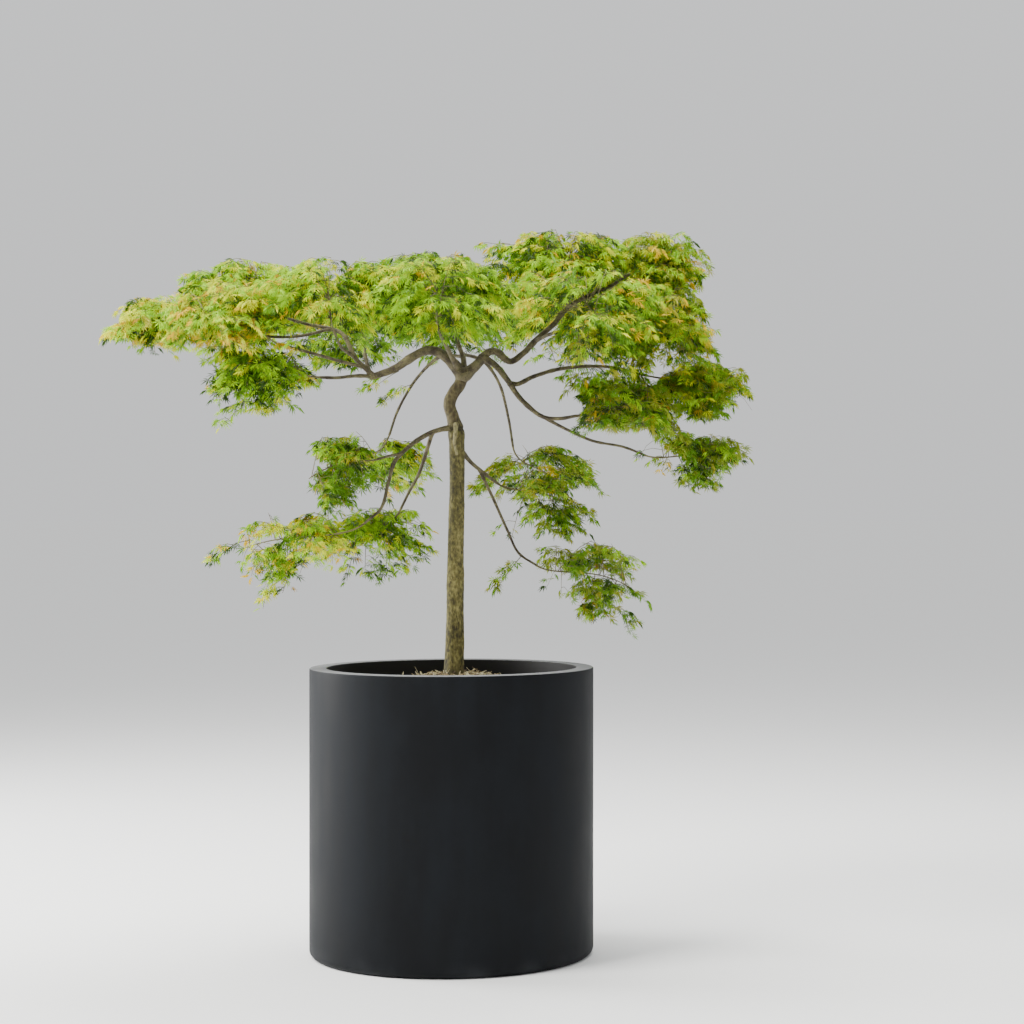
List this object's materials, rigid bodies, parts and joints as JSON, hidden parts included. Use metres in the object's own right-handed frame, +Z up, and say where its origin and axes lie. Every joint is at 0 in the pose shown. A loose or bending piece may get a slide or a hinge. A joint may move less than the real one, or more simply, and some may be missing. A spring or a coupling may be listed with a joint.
{
  "type": "potted weeping cut-leaf maple tree",
  "caption": "Weeping cut-leaf maple grafted as a small standard tree, with a broad umbrella crown on a bare stem, growing in a tall round planter.",
  "frame": {"origin": "middle of the planter's flat underside, where it stands on the ground", "axes": "+Z up along the planter's axis; -Y is the side seen in the picture; +X is to the right as seen from there, the way of the crown's higher side"},
  "size_m": [2.2685, 1.7223, 2.5332],
  "materials": {
    "planter": "matte",
    "soil": "matte",
    "bark": "matte",
    "bough_bark": "matte",
    "leaf_lime": "matte",
    "leaf_green": "matte",
    "leaf_gold": "matte",
    "leaf_olive": "matte"
  },
  "bodies": {
    "root": {"pot": "planter", "soil": "soil", "trunk": "bark", "bough_left_main": "bough_bark", "bough_right_main": "bough_bark", "bough_left_reach": "bough_bark", "bough_left_far": "bough_bark", "bough_left_side": "bough_bark", "bough_left_low": "bough_bark", "bough_left_front": "bough_bark", "bough_left_back": "bough_bark", "bough_centre_front": "bough_bark", "bough_centre_top": "bough_bark", "bough_centre_back": "bough_bark", "bough_right_rise": "bough_bark", "bough_right_top": "bough_bark", "bough_right_front": "bough_bark", "bough_right_back": "bough_bark", "bough_right_shoulder": "bough_bark", "bough_right_sweep": "bough_bark", "bough_right_mid": "bough_bark", "bough_right_fall": "bough_bark", "bough_low_left": "bough_bark", "bough_low_left_side": "bough_bark", "bough_low_left_inner": "bough_bark", "bough_back_left": "bough_bark", "bough_back_right": "bough_bark", "bough_low_right": "bough_bark", "bough_low_right_fall": "bough_bark", "leaves_left_tip": "leaf_gold", "leaves_left_high": "leaf_lime", "leaves_left_mid": "leaf_gold", "leaves_left_skirt": "leaf_lime", "leaves_left_front": "leaf_lime", "leaves_left_back": "leaf_lime", "leaves_centre_front": "leaf_lime", "leaves_centre_top": "leaf_lime", "leaves_centre_back": "leaf_lime", "leaves_right_top": "leaf_lime", "leaves_right_crest": "leaf_gold", "leaves_right_front": "leaf_lime", "leaves_right_back": "leaf_lime", "leaves_right_shoulder": "leaf_gold", "leaves_right_tip": "leaf_gold", "leaves_right_skirt": "leaf_olive", "leaves_right_fall": "leaf_olive", "leaves_back_left": "leaf_lime", "leaves_back_right": "leaf_olive", "leaves_low_right": "leaf_olive", "leaves_low_right_fall": "leaf_olive", "leaves_low_left": "leaf_green", "leaves_low_left_fall": "leaf_gold", "leaves_low_left_inner": "leaf_lime"}
  },
  "joints": []
}
